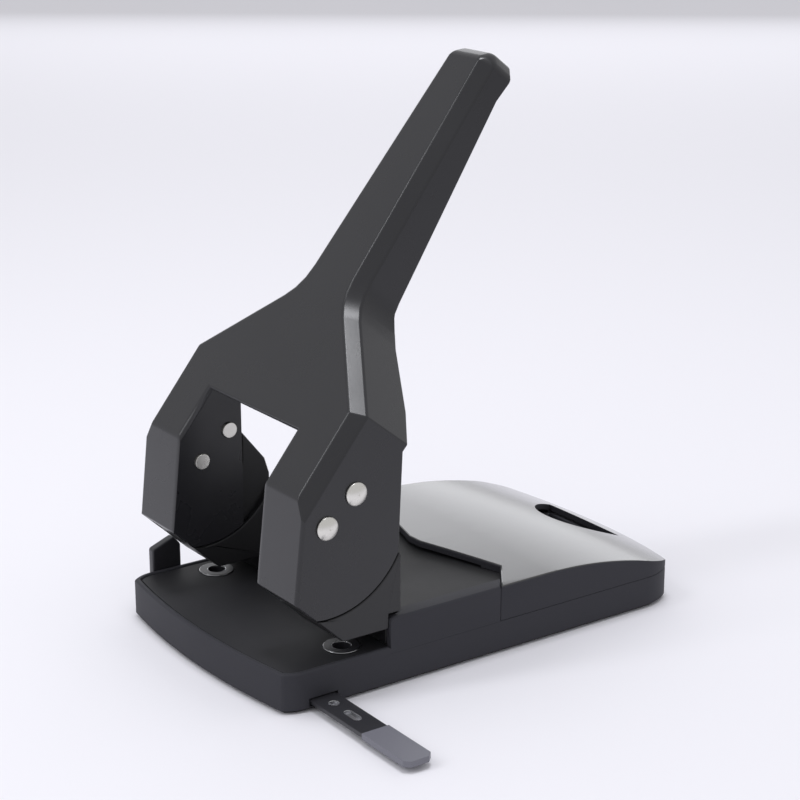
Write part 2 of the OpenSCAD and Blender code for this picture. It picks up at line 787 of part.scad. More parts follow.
module lever_side_view() {
    handle_back = [web(handle_s, tip_depth), web(handle_s - waist_len, waist_depth),
                   web(neck_s + root_len, root_depth), web(neck_s, neck_depth)];
    flange_back = [web(shoulder_s + flange_bend, neck_depth + flange_swell),
                   [flange_top_y, fold_z + flange_top_rise],
                   [flange_low_y, pivot_z - flange_low_drop],
                   [flange_low_y - flange_taper, throat_z]];
    front = [mouth_at(throat_z), leg_foot, [fold_y, fold_z], web(handle_s, 0)];
    polygon(concat(front, handle_back, flange_back));
}

module lever_hollow() {
    top = neck_s - solid_len;
    solid_depth = neck_depth * 3;
    side_view(-far, far) polygon([leg_at(0, lever_wall), fold_in(lever_wall), web(top, lever_wall),
                                  web(top, solid_depth), [far, 0]]);
}

module lever() {
    color("#29292b") difference() {
        intersection() {
            on_web() union() {
                shoulder_body(0);
                neck_body();
                handle_body();
            }
            side_view(-leg_x, leg_x) lever_side_view();
            union() {
                block(-far, far, -far, far, pivot_z, far);
                rod(-far, far, pivot_y, pivot_z, 2 * flange_r);
            }
        }
        difference() {
            intersection() {
                on_web() shoulder_body(lever_wall);
                lever_hollow();
            }
            for (side = [-1, 1]) at_side(side) on_web()
                translate([arch_x, -far, -far])
                    cube([lever_wall, far + arch_s + inner_flange_lap, 2 * far]);
        }
        on_web() translate([-arch_x, -far, -far]) cube([2 * arch_x, far + arch_s, 2 * far]);
        block(-arch_x - lever_wall - eps, arch_x + lever_wall + eps, inner_flange_y, far, 0,
              fold_z + inner_flange_rise);
        rod(-far, far, pivot_y, pivot_z, pin_d);
        rod(-far, far, drive_y, drive_z, pin_d);
    }
}

// Turned pin with a domed head outside and a plain end inside
module pin(side, y, z) {
    rim_h = pin_head_h * 0.35;
    dome_r = bow_r(pin_head_d / 2, pin_head_h - rim_h);
    start = arch_x - pin_tail;
    color("#e6e7e8") at_side(side) translate([0, y, z]) rotate([0, 90, 0]) rotate_extrude() {
        translate([0, start]) square([pin_d / 2, leg_x - start]);
        intersection() {
            translate([0, leg_x]) square([pin_head_d / 2, pin_head_h]);
            translate([0, leg_x + pin_head_h - dome_r]) circle(r = dome_r);
        }
    }
}

// Punches
module punch(side) {
    color("#d3d5d7") translate([side * hole_x, 0, 0]) difference() {
        translate([0, 0, punch_tip_z]) cylinder(d = hole_d, h = yoke_z - punch_tip_z);
        translate([0, 0, punch_tip_z - hole_d * 0.55]) rotate([90, 0, 0])
            cylinder(d = hole_d * 1.5, h = hole_d * 2, center = true);
    }
}

module yoke(side) {
    run = (slot_len - slot_h) / 2;
    color("#6f7173") translate([side * hole_x, drive_mid_y, 0]) difference() {
        block(-yoke_w / 2, yoke_w / 2, -yoke_d / 2, yoke_d / 2, yoke_z, yoke_z + yoke_h);
        block(-yoke_w, yoke_w, -run, run, drive_z - slot_h / 2, drive_z + slot_h / 2);
        for (end = [-run, run]) rod(-yoke_w, yoke_w, end, drive_z, slot_h);
    }
}

// Return spring, one tube swept along a helix
module spring(side) {
    color("#b9bbbd") translate([side * hole_x, 0, 0]) polyhedron(spring_points, spring_faces, convexity = 8);
}

// Paper guide
module guide_bar() {
    slot_x0 = base_half + bar_slot_x;
    slot_x1 = slot_x0 + bar_slot_len;
    color("#3a3a3d") difference() {
        block(stop_x - stop_t, bar_x1 - tab_end, bar_y - bar_w / 2, bar_y + bar_w / 2, bar_z, bar_z + bar_t);
        translate([base_half + bar_hole_x, bar_y, 0]) cylinder(d = bar_hole_d, h = far);
        for (x = [slot_x0, slot_x1]) translate([x, bar_y, 0]) cylinder(d = bar_slot_w, h = far);
        block(slot_x0, slot_x1, bar_y - bar_slot_w / 2, bar_y + bar_slot_w / 2, 0, far);
        guide_rivets();
    }
}

// Upright stop at the left end of the bar, its top sloping up towards the rear
module guide_stop() {
    y0 = bar_y - bar_w / 2;
    top = bar_z + bar_t;
    color("#1f1f21") difference() {
        side_view(stop_x - stop_t, stop_x) polygon([
            [y0, top], [y0, stop_front_z], [y0 + stop_len * 0.76, stop_rear_z],
            [y0 + stop_len, stop_front_z], [y0 + stop_len, top]]);
        guide_rivets();
    }
}

module guide_rivets() {
    color("#a9abad") for (y = [-1, 1]) translate([stop_x - stop_t / 2, bar_y + y * bar_w / 4, bar_z])
        cylinder(d = rivet_d, h = rivet_len);
}

// Pull tab, a sleeve over the bar's end
module guide_tab() {
    half = bar_w / 2 + tab_wall;
    color("#8b8b93") difference() {
        translate([0, bar_y, bar_z - tab_wall]) linear_extrude(bar_t + 2 * tab_wall) polygon([
            [bar_x1 - tab_len, -half], [bar_x1 - tab_nose, -half], [bar_x1, tab_nose - half],
            [bar_x1, half - tab_nose], [bar_x1 - tab_nose, half], [bar_x1 - tab_len, half]]);
        block(0, bar_x1 - tab_end, bar_y - bar_w / 2, bar_y + bar_w / 2, bar_z, bar_z + bar_t);
    }
}

// Chip drawer
module chip_drawer() {
    half = hole_x + drawer_side;
    front = bay_front + side_gap;
    low = floor_z + slide_gap;
    rear_wall = slot_y - drawer_wall;
    color("#303033") difference() {
        intersection() {
            slab(low, seam_z - slide_gap);
            block(-half, half, front, far, 0, far);
        }
        block(-half + drawer_wall, half - drawer_wall, front + drawer_wall, rear_wall,
              low + drawer_wall, far);
        block(-far, far, -far, rear_wall, drawer_z, far);
        finger_slot(low + drawer_wall);
    }
}

base_shell();
base_pad();
table_plate();
die(-1);  // left_die
die(1);  // right_die
head(-1);  // left_head
head(1);  // right_head
head_screws();
pivot_bush(-1);  // left_pivot_bush
pivot_bush(1);  // right_pivot_bush
stop_pad(-1);  // left_stop_pad
stop_pad(1);  // right_stop_pad
deck_plate();
rail(-1);  // left_rail
rail(1);  // right_rail
rear_cover();
cover_screws();
guide_clip();
lever();
pin(-1, pivot_y, pivot_z);  // left_pivot_pin
pin(1, pivot_y, pivot_z);  // right_pivot_pin
pin(-1, drive_y, drive_z);  // left_drive_pin
pin(1, drive_y, drive_z);  // right_drive_pin
punch(-1);  // left_punch
punch(1);  // right_punch
yoke(-1);  // left_yoke
yoke(1);  // right_yoke
spring(-1);  // left_spring
spring(1);  // right_spring
guide_bar();
guide_stop();
guide_tab();
guide_rivets();
chip_drawer();
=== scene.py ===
import json
import math

import bmesh
import bpy
from mathutils import Matrix, Vector


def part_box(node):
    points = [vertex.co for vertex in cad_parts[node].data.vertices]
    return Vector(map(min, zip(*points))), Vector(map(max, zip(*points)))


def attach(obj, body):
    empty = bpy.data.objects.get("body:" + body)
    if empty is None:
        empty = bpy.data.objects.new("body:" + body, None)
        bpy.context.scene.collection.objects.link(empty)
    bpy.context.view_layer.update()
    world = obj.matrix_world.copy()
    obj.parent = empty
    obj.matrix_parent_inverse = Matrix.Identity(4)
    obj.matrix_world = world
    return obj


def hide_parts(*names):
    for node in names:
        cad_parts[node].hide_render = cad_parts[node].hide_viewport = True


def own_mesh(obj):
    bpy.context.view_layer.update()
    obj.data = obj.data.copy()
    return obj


bl_info = {
    "name": "Two-hole punch",
    "version": (1, 0, 0),
    "blender": (4, 5, 0),
    "location": "View3D > Sidebar > Punch",
    "description": "Dresses the packed two-hole punch and sets up its studio",
    "category": "Object",
}

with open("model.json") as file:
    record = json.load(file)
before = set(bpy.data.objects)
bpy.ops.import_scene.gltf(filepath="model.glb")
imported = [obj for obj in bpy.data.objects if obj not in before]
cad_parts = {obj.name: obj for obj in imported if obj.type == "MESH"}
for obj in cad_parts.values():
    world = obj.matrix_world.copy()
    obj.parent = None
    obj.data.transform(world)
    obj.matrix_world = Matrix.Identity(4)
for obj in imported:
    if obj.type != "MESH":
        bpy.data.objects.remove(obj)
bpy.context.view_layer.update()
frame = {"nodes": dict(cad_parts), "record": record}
BODY_OF = {node: body for body, nodes in frame["record"]["behaviour"]["bodies"].items() for node in nodes}
SLOT_OF = {part["node"]: part["material_slot"] for part in frame["record"]["subparts"]}

MM = 0.001
X, Y, Z = range(3)
SIDES = ("left", "right")

# The lever's front face: the fold between leg and web, and the directions up the web and into it
FOLD = Vector((0.0, -20.2, 71.2)) * MM
LEAN = math.radians(38.6)
WEB_UP = Vector((0.0, math.sin(LEAN), math.cos(LEAN)))
WEB_IN = Vector((0.0, math.cos(LEAN), -math.sin(LEAN)))
LEG_LEAN = math.radians(6.4)
LEG_IN = Vector((0.0, math.cos(LEG_LEAN), -math.sin(LEG_LEAN)))
# Depth of the bevel round that face, and how far up the web the handle ends
LEVER_BEVEL = 4.1 * MM
HANDLE_END = 162.5 * MM
# Length of the handle's end that takes the rounding of its tip
TIP_LENGTH = 6 * MM
# Half width of the arch between the legs
ARCH_X = 27 * MM

# Axes of the pins as y, z, and of the bores, screws and rivets as x, y, all in mm
PIN_AXES = ((-12.1, 60.6), (-1.1, 69.8))
HEAD_BORES = tuple((side * 40.0, y) for side in (-1, 1) for y in (0.0, 19.5, 27.0))
COVER_SCREWS = tuple((side * 48.0, y) for side in (-1, 1) for y in (44.0, 67.8))
RIVETS = tuple((-53.1, y) for y in (-16.75, -11.85))
# Edges within these distances of an axis, in mm, belong to a bore and stay sharp
PIN_HOLE_REACH = 3.2
BUSH_REACH = 4.4
HEAD_BORE_REACH = 3.6
SCREW_REACH = 4.0
RIVET_REACH = 1.2

# The base's outer faces look away from this point in it
BASE_MIDDLE = Vector((0.0, 55.0, 12.0)) * MM
# Heights that tell the edges of foot, seam, cover, table and rim apart
FOOT_TOP = 1.3 * MM
SEAM_LOW = 11 * MM
SEAM_HIGH = 12 * MM
COVER_LOW = 12.2 * MM
TABLE_TOP = 13.5 * MM
RIM_LOW = 13.9 * MM
# The finger slot in the cover, the cover's outer wall and the front of the rails
SLOT_HALF = 20.5 * MM
SLOT_FRONT = 118 * MM
SLOT_REAR = 137 * MM
COVER_SIDE = 50.5 * MM
RAIL_FRONT = 12.2 * MM
# The cover's rim thins towards the rear, so its rounding ends here, after fading out over this length
RIM_FADE_END = 122 * MM
RIM_FADE = 44 * MM
# A rounding smaller than this is left out
RIM_LEAST = 0.05 * MM
# The hole and the slot in the guide bar lie between these places along it and this close to its middle
BAR_Y = -14.3 * MM
BAR_HOLES = (52 * MM, 76 * MM)
BAR_HOLE_HALF = 3 * MM

# Edges whose faces meet at less than this angle stay as they are
SHARP = math.radians(28)
# A rounding takes at most this share of the face beside it
ROOM_SHARE = 0.45
LEAST_ROOM = 0.01 * MM
# Points within this of a plane lie on it
ON_PLANE = 0.12 * MM
# Corners of the loose CAD triangles within this are one
MERGE = 0.002 * MM
# The upward part of a face's normal: more than this is level or upward, less is a wall, upright or plumb
LEVEL = 0.9
UPWARD = 0.7
WALL = 0.5
UPRIGHT = 0.4
PLUMB = 0.1
# The modifier that rounds, and how far the flats' own normals outweigh those of their rounded edges
ROUNDED = "Rounded edges"
FLAT_WEIGHT = 90
# Deck, drawer and yokes are rounded this much more than the ground plates
SOFT_PLATE = 1.6
SOFT_YOKE = 1.5
# Sides of the spring's wire, steps of one of its turns, and how close its doubles lie
WIRE_SIDES = 12
TURN_STEPS = 36
WIRE_MERGE = 0.001 * MM

# The studio: each lamp's name, place, aim and size in metres, and its watts
LAMPS = (
    ("Overhead softbox", (0.0, 0.05, 1.3), (0.0, 0.05, 0.1), (0.34, 0.34), 5.6),
    ("Front strip", (-0.18, -0.86, 0.86), (0.0, 0.0, 0.1), (0.12, 0.9), 3.2),
    ("Rear panel", (-1.2, 1.0, 0.47), (0.0, 0.1, 0.05), (1.5, 0.7), 2.8),
)
LAMP_COLOUR = (0.95, 0.96, 1.0)
SURROUND_COLOUR = (0.97, 0.97, 0.99, 1.0)
SURROUND_STRENGTH = 0.66
FLOOR_HALF = 6.0
# The camera, at the photograph's viewing angle
CAMERA_PLACE = (0.5608, -0.3454, 0.2971)
CAMERA_TILT = math.radians(72.3)
CAMERA_TURN = math.radians(54.7)
CAMERA_LENS = 93.96
CAMERA_SENSOR = 36.0

# Sizes in mm of the patterns that several finishes share
HANDLING_MM = 38
HAZE_MM = 55
SMEAR_MM = 6
BLOOM_MM = 30
# Drawn coarser than the real pebble of a rubber mould, which would not show
PEBBLE_MM = 0.9
PEBBLE_DEPTH_MM = 0.12
# Grooves run this many times longer than they are wide
GROOVE_STRETCH = 40
# How many times lighter handled paint and bloomed rubber are
HANDLED = 1.25
BLOOMED = 1.8


def linear(code):
    """An sRGB hex colour as linear RGBA."""
    channels = [int(code[i:i + 2], 16) / 255 for i in (1, 3, 5)]
    curve = [c / 12.92 if c <= 0.04045 else ((c + 0.055) / 1.055) ** 2.4 for c in channels]
    return (*curve, 1.0)


def colour_prop(name, description, code):
    """A colour that a user may change, given as sRGB hex."""
    return bpy.props.FloatVectorProperty(
        name=name, description=description, default=linear(code), size=4, subtype="COLOR", min=0.0, max=1.0)


def length_prop(name, description, millimetres):
    """A length that a user may change, given in mm."""
    return bpy.props.FloatProperty(
        name=name, description=description, default=millimetres * MM, min=0.0, precision=5, unit="LENGTH")


class PunchSizes(bpy.types.PropertyGroup):
    """Edge roundings and small forms that a user may change"""

    lever_edge: length_prop("Lever edge", "Rounding of the bevel round the lever's front face", 0.7)
    fold_edge: length_prop("Fold edge", "Rounding of the fold between leg and web", 1.6)
    leg_edge: length_prop("Leg edge", "Rounding of the legs' front edges", 1.3)
    sheet_edge: length_prop("Sheet edge", "Rounding of the lever's cut edges", 0.45)
    tip_edge: length_prop("Tip edge", "Rounding of the handle's end", 1.5)
    arch_edge: length_prop("Arch edge", "Rounding of the bends beside the arch", 2.0)
    cover_edge: length_prop("Cover edge", "Rounding of the cover's outer edge", 2.6)
    rail_end: length_prop("Rail end", "Rounding of the rails' front ends", 3.4)
    lip_edge: length_prop("Lip edge", "Rounding of the cover's lip and of the rails", 0.7)
    shell_edge: length_prop("Shell edge", "Rounding of the base shell's edges", 0.8)
    foot_edge: length_prop("Foot edge", "Rounding of the shell's lowest edge", 0.15)
    seam_edge: length_prop("Seam edge", "Rounding of the edges where cover and shell meet", 0.35)
    head_edge: length_prop("Head edge", "Rounding of the cast heads' edges", 0.6)
    plate_edge: length_prop("Plate edge", "Rounding of table, deck, dies and bar", 0.25)
    stop_edge: length_prop("Stop edge", "Rounding of the guide's upright stop", 0.8)
    pin_edge: length_prop("Pin edge", "Rounding of the pins' rims", 0.2)
    spring_wire: length_prop("Spring wire", "Wire diameter of the return springs", 1.1)
    spring_coil: length_prop("Spring coil", "Mean diameter of the return springs", 8.6)
    spring_turns: bpy.props.IntProperty(
        name="Spring turns", description="Turns of a return spring", default=7, min=1)


class PunchColours(bpy.types.PropertyGroup):
    """Colours of the finishes and of the studio"""

    lever_black: colour_prop("Lever", "Satin black paint of the lever", "#1f1f22")
    head_black: colour_prop("Heads", "Satin black paint of the heads", "#19191b")
    table_black: colour_prop("Table", "Smooth black paint of the paper table", "#262629")
    deck_black: colour_prop("Deck", "Matt black paint of the deck", "#1b1b1d")
    shell_black: colour_prop("Shell", "Grained black plastic of the base", "#38383d")
    cover_black: colour_prop("Cover", "Gloss black plastic of the cover", "#0b0b0d")
    drawer_grey: colour_prop("Drawer", "Dark grey plastic of the drawer", "#4a4a50")
    tab_grey: colour_prop("Tab", "Grey plastic of the pull tab", "#707079")
    bar_black: colour_prop("Bar", "Blackened steel of the paper guide", "#2c2c30")
    rubber_black: colour_prop("Rubber", "Black rubber of pad and stops", "#1c1c1d")
    nickel: colour_prop("Nickel", "Bright nickel of the pins", "#dedcd6")
    steel: colour_prop("Steel", "Ground tool steel", "#b9babc")
    zinc: colour_prop("Zinc", "Zinc plate of springs and screws", "#a9adb2")
    bronze: colour_prop("Bronze", "Oiled bronze of the bushes", "#8a6a34")
    floor: colour_prop("Floor", "Pale studio floor", "#eeedf2")


def sizes():
    """The scene's own sizes, as a user has set them."""
    return bpy.context.scene.punch_sizes


def add(tree, kind, inputs=None, **settings):
    """A node with its settings, its input values and its links."""
    node = tree.nodes.new(kind)
    for key, value in settings.items():
        setattr(node, key, value)
    for key, value in (inputs or {}).items():
        if isinstance(value, bpy.types.NodeSocket):
            tree.links.new(value, node.inputs[key])
        else:
            node.inputs[key].default_value = value
    return node


def new_material(name):
    """An empty node material with its output and principled shader."""
    material = bpy.data.materials.new(name)
    material.use_nodes = True
    tree = material.node_tree
    tree.nodes.clear()
    shader = add(tree, "ShaderNodeBsdfPrincipled")
    add(tree, "ShaderNodeOutputMaterial", {"Surface": shader.outputs["BSDF"]})
    return material, tree, shader


def lighter(colour, share):
    """A colour times a share, opaque."""
    return [min(1.0, c * share) for c in colour[:3]] + [1.0]


def painted_metal(name, colour, roughness, peel_mm, peel_depth_mm, shine=0.5):
    """Stoved paint on metal: an even black, a slight orange peel and duller, lighter patches of handling."""
    material, tree, shader = new_material(name)
    place = add(tree, "ShaderNodeTexCoord").outputs["Object"]
    peel = add(tree, "ShaderNodeTexNoise", {
        "Vector": place, "Scale": 1 / (peel_mm * MM), "Detail": 2.0, "Roughness": 0.5})
    handling = add(tree, "ShaderNodeTexNoise", {
        "Vector": place, "Scale": 1 / (HANDLING_MM * MM), "Detail": 4.0, "Roughness": 0.6})
    dull = add(tree, "ShaderNodeMapRange", {
        "Value": handling.outputs["Fac"], "From Min": 0.35, "From Max": 0.7,
        "To Min": roughness - 0.03, "To Max": roughness + 0.05})
    tint = add(tree, "ShaderNodeMix", {
        "Factor": handling.outputs["Fac"], "A": colour, "B": lighter(colour, HANDLED)}, data_type="RGBA")
    bump = add(tree, "ShaderNodeBump", {
        "Height": peel.outputs["Fac"], "Strength": 0.35, "Distance": peel_depth_mm * MM})
    tree.links.new(tint.outputs["Result"], shader.inputs["Base Color"])
    tree.links.new(dull.outputs["Result"], shader.inputs["Roughness"])
    tree.links.new(bump.outputs["Normal"], shader.inputs["Normal"])
    shader.inputs["IOR"].default_value = 1.5
    shader.inputs["Specular IOR Level"].default_value = shine
    return material


def moulded_plastic(name, colour, roughness, grain_mm, grain_depth_mm, lacquer=0.0, shine=0.5):
    """Injection-moulded ABS: an even colour with the grain of the mould, and a faint haze of dust."""
    material, tree, shader = new_material(name)
    place = add(tree, "ShaderNodeTexCoord").outputs["Object"]
    grain = add(tree, "ShaderNodeTexVoronoi", {
        "Vector": place, "Scale": 1 / (grain_mm * MM)}, feature="SMOOTH_F1")
    haze = add(tree, "ShaderNodeTexNoise", {
        "Vector": place, "Scale": 1 / (HAZE_MM * MM), "Detail": 5.0, "Roughness": 0.55})
    dull = add(tree, "ShaderNodeMapRange", {
        "Value": haze.outputs["Fac"], "From Min": 0.3, "From Max": 0.75,
        "To Min": max(0.02, roughness - 0.03), "To Max": roughness + 0.05})
    bump = add(tree, "ShaderNodeBump", {
        "Height": grain.outputs["Distance"], "Strength": 0.3, "Distance": grain_depth_mm * MM})
    shader.inputs["Base Color"].default_value = colour
    tree.links.new(dull.outputs["Result"], shader.inputs["Roughness"])
    tree.links.new(bump.outputs["Normal"], shader.inputs["Normal"])
    shader.inputs["IOR"].default_value = 1.53
    shader.inputs["Specular IOR Level"].default_value = shine
    shader.inputs["Coat Weight"].default_value = lacquer
    shader.inputs["Coat Roughness"].default_value = roughness
    return material


def worked_metal(name, colour, roughness, groove_mm, along, depth_mm):
    """Bare metal with the fine grooves of turning, grinding or drawing, stretched along the cut."""
    material, tree, shader = new_material(name)
    place = add(tree, "ShaderNodeTexCoord").outputs["Object"]
    stretch = [1 / (groove_mm * MM)] * 3
    stretch[along] = 1 / (groove_mm * GROOVE_STRETCH * MM)
    run = add(tree, "ShaderNodeMapping", {"Vector": place, "Scale": stretch})
    grooves = add(tree, "ShaderNodeTexNoise", {
        "Vector": run.outputs["Vector"], "Scale": 1.0, "Detail": 3.0, "Roughness": 0.6})
    smear = add(tree, "ShaderNodeTexNoise", {
        "Vector": place, "Scale": 1 / (SMEAR_MM * MM), "Detail": 3.0, "Roughness": 0.6})
    dull = add(tree, "ShaderNodeMapRange", {
        "Value": smear.outputs["Fac"], "From Min": 0.3, "From Max": 0.7,
        "To Min": max(0.03, roughness - 0.05), "To Max": roughness + 0.06})
    bump = add(tree, "ShaderNodeBump", {
        "Height": grooves.outputs["Fac"], "Strength": 0.25, "Distance": depth_mm * MM})
    shader.inputs["Base Color"].default_value = colour
    shader.inputs["Metallic"].default_value = 1.0
    tree.links.new(dull.outputs["Result"], shader.inputs["Roughness"])
    tree.links.new(bump.outputs["Normal"], shader.inputs["Normal"])
    return material


def soft_rubber(name, colour):
    """Moulded black rubber: matt, with a fine pebble and grey bloom in patches."""
    material, tree, shader = new_material(name)
    place = add(tree, "ShaderNodeTexCoord").outputs["Object"]
    pebble = add(tree, "ShaderNodeTexNoise", {
        "Vector": place, "Scale": 1 / (PEBBLE_MM * MM), "Detail": 3.0, "Roughness": 0.6})
    bloom = add(tree, "ShaderNodeTexNoise", {
        "Vector": place, "Scale": 1 / (BLOOM_MM * MM), "Detail": 4.0, "Roughness": 0.6})
    tint = add(tree, "ShaderNodeMix", {
        "Factor": bloom.outputs["Fac"], "A": colour, "B": lighter(colour, BLOOMED)}, data_type="RGBA")
    bump = add(tree, "ShaderNodeBump", {
        "Height": pebble.outputs["Fac"], "Strength": 0.4, "Distance": PEBBLE_DEPTH_MM * MM})
    tree.links.new(tint.outputs["Result"], shader.inputs["Base Color"])
    tree.links.new(bump.outputs["Normal"], shader.inputs["Normal"])
    shader.inputs["Roughness"].default_value = 0.78
    shader.inputs["IOR"].default_value = 1.52
    return material


# Each record slot's finish: its name, its colour, its maker and what the maker is told
FINISHES = {
    # Smooth enough for broad soft highlights along the bevel, with the peel of a sprayed coat
    "lever_paint": ("Satin black stoved paint", "lever_black", painted_metal, {
        "roughness": 0.27, "peel_mm": 1.4, "peel_depth_mm": 0.02}),
    # Duller and more uneven, as paint lies on a casting
    "head_paint": ("Black paint on cast steel", "head_black", painted_metal, {
        "roughness": 0.42, "peel_mm": 1.1, "peel_depth_mm": 0.06}),
    # Flat and quiet, so that the bright rims of the dies stand out
    "table_paint": ("Smooth black paint", "table_black", painted_metal, {
        "roughness": 0.62, "peel_mm": 1.6, "peel_depth_mm": 0.03, "shine": 0.3}),
    # A powdery sheet that sets off the glossy cover
    "deck_paint": ("Matt black paint", "deck_black", painted_metal, {
        "roughness": 0.55, "peel_mm": 0.8, "peel_depth_mm": 0.06, "shine": 0.4}),
    # A blackened strip with a soft sheen
    "guide_steel": ("Blackened steel strip", "bar_black", painted_metal, {
        "roughness": 0.38, "peel_mm": 0.9, "peel_depth_mm": 0.03}),
    # Spark-eroded grain that kills reflections; drawn coarser than the real grain, which would not show
    "shell_plastic": ("Grained black ABS", "shell_black", moulded_plastic, {
        "roughness": 0.55, "grain_mm": 0.7, "grain_depth_mm": 0.05, "shine": 0.14}),
    # A polished mould gives a near mirror that takes up the pale surround, with a slow waviness
    "cover_plastic": ("Gloss black ABS", "cover_black", moulded_plastic, {
        "roughness": 0.18, "grain_mm": 2.6, "grain_depth_mm": 0.01, "lacquer": 1.0}),
    # A plain, dull dark grey; its grain and the tab's are drawn coarser than real ones, so that they show
    "drawer_plastic": ("Dark grey ABS", "drawer_grey", moulded_plastic, {
        "roughness": 0.48, "grain_mm": 0.8, "grain_depth_mm": 0.05}),
    # Paler and a little smoother, so that the tab is seen against the bar
    "tab_plastic": ("Grey ABS", "tab_grey", moulded_plastic, {
        "roughness": 0.42, "grain_mm": 0.8, "grain_depth_mm": 0.05}),
    # Bright discs on the black lever; turning marks are drawn much coarser than real ones
    "bright_pin": ("Bright nickel plate", "nickel", worked_metal, {
        "roughness": 0.3, "groove_mm": 1.2, "along": Y, "depth_mm": 0.002}),
    # Crisp grey steel; grinding marks here and below are drawn coarser than real ones, so that they show
    "tool_steel": ("Ground tool steel", "steel", worked_metal, {
        "roughness": 0.22, "groove_mm": 0.18, "along": X, "depth_mm": 0.02}),
    # A cool, cloudy grey
    "zinc_steel": ("Zinc plated steel", "zinc", worked_metal, {
        "roughness": 0.34, "groove_mm": 0.30, "along": Z, "depth_mm": 0.02}),
    # A warm brown ring, darkened by oil
    "bush_bronze": ("Oiled bronze", "bronze", worked_metal, {
        "roughness": 0.35, "groove_mm": 0.25, "along": Y, "depth_mm": 0.02}),
    # The dullest black on the punch
    "soft_rubber": ("Black rubber", "rubber_black", soft_rubber, {}),
}


def finish_for(slot):
    """The material of a record slot, made once and then shared."""
    name, colour, maker, told = FINISHES[slot]
    ready = bpy.data.materials.get(name)
    return ready or maker(name, tuple(getattr(bpy.context.scene.punch_colours, colour)), **told)


def joined_copy(node, flat_deg):
    """A CAD node's mesh with its triangles joined into flats."""
    bm = bmesh.new()
    bm.from_mesh(frame["nodes"][node].data)
    bmesh.ops.remove_doubles(bm, verts=bm.verts[:], dist=MERGE)
    bmesh.ops.dissolve_limit(bm, angle_limit=math.radians(flat_deg), verts=bm.verts[:], edges=bm.edges[:])
    return bm


def place_piece(bm, node):
    """Turns a bmesh into a piece that stands for a CAD node and moves with its body."""
    name = node + "_dressed"
    mesh = bpy.data.meshes.new(name)
    bm.to_mesh(mesh)
    bm.free()
    mesh.shade_smooth()
    piece = bpy.data.objects.new(name, mesh)
    bpy.context.scene.collection.objects.link(piece)
    mesh.materials.clear()
    mesh.materials.append(finish_for(SLOT_OF[node]))
    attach(piece, BODY_OF[node])
    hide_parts(node)
    return piece


def face_room(loop):
    """Clear width of a face, square to the middle of one of its edges."""
    start, end = loop.vert.co, loop.link_loop_next.vert.co
    along = (end - start).normalized()
    inward = loop.face.normal.cross(along)
    middle = (start + end) / 2
    room = 1.0
    for other in loop.face.edges:
        a, b = (v.co - middle for v in other.verts)
        ahead, behind = a.dot(along), b.dot(along)
        if other != loop.edge and ahead * behind <= 0 and ahead != behind:
            width = a.lerp(b, ahead / (ahead - behind)).dot(inward)
            if width > LEAST_ROOM:
                room = min(room, width)
    return room


def rounded_copy(node, radius_at, segments=3, flat_deg=0.4):
    """A copy of a CAD node whose convex edges are rounded by what radius_at gives, within their room."""
    bm = joined_copy(node, flat_deg)
    weights = bm.edges.layers.float.new("bevel_weight_edge")
    chosen = {}
    for edge in bm.edges:
        if not edge.is_manifold or edge.calc_face_angle() < SHARP:
            continue
        radius = radius_at(edge) if edge.is_convex else 0.0
        if radius > 0:
            chosen[edge] = min(radius, *(ROOM_SHARE * face_room(loop) for loop in edge.link_loops))
        else:
            edge.smooth = False
    widest = max(chosen.values())
    for edge, size in chosen.items():
        edge[weights] = size / widest
    piece = place_piece(bm, node)
    bevel = piece.modifiers.new(ROUNDED, "BEVEL")
    bevel.limit_method = "WEIGHT"
    bevel.width = widest
    bevel.segments = segments
    bevel.profile = 0.5
    bevel.use_clamp_overlap = False
    bevel.miter_outer = "MITER_ARC"
    flats = piece.modifiers.new("Flat faces stay flat", "WEIGHTED_NORMAL")
    flats.keep_sharp = True
    flats.weight = FLAT_WEIGHT
    return piece


def near_axis(edge, along, points, reach):
    """Whether an edge runs within reach of one of the axes, given in mm square to the axis along."""
    for point in points:
        gaps = [math.hypot(*(c / MM - p for c, p in zip((v.co[i] for i in range(3) if i != along), point)))
                for v in edge.verts]
        if max(gaps) < reach:
            return True
    return False


def lie_at(distances, level=0.0):
    """Whether all of these distances are at one level."""
    return all(abs(distance - level) < ON_PLANE for distance in distances)


def dress(node):
    """Gives a CAD node that keeps its own mesh the finish of its slot."""
    mesh = frame["nodes"][node].data
    mesh.materials.clear()
    mesh.materials.append(finish_for(SLOT_OF[node]))


class PUNCH_OT_lever(bpy.types.Operator):
    """Forked lever with its rounded bevel, folds and cut edges"""

    bl_idname = "punch.lever"
    bl_label = "Lever"

    def execute(self, context):
        rounded_copy("lever", self.radius_at, segments=4)
        return {"FINISHED"}

    def radius_at(self, edge):
        """Tells the pin holes, the handle's end, the fold, the bevel, the legs and the cut edges apart."""
        size = sizes()
        if near_axis(edge, X, PIN_AXES, PIN_HOLE_REACH):
            return 0.0
        ends = [v.co for v in edge.verts]
        heights = [(p - FOLD).dot(WEB_UP) for p in ends]
        depths = [(p - FOLD).dot(WEB_IN) for p in ends]
        leg_depths = [(p - FOLD).dot(LEG_IN) for p in ends]
        beside_arch = lie_at([abs(p.x) for p in ends], ARCH_X)
        if min(heights) > HANDLE_END - TIP_LENGTH:
            return size.tip_edge
        if lie_at(heights) and lie_at(depths):
            return size.fold_edge
        if lie_at(depths) or lie_at(depths, LEVER_BEVEL):
            return size.arch_edge if beside_arch else size.lever_edge
        if lie_at(leg_depths) and max(heights) < ON_PLANE:
            if beside_arch:
                return size.arch_edge
            return size.leg_edge if abs(ends[0].x - ends[1].x) < ON_PLANE else size.sheet_edge
        return size.sheet_edge


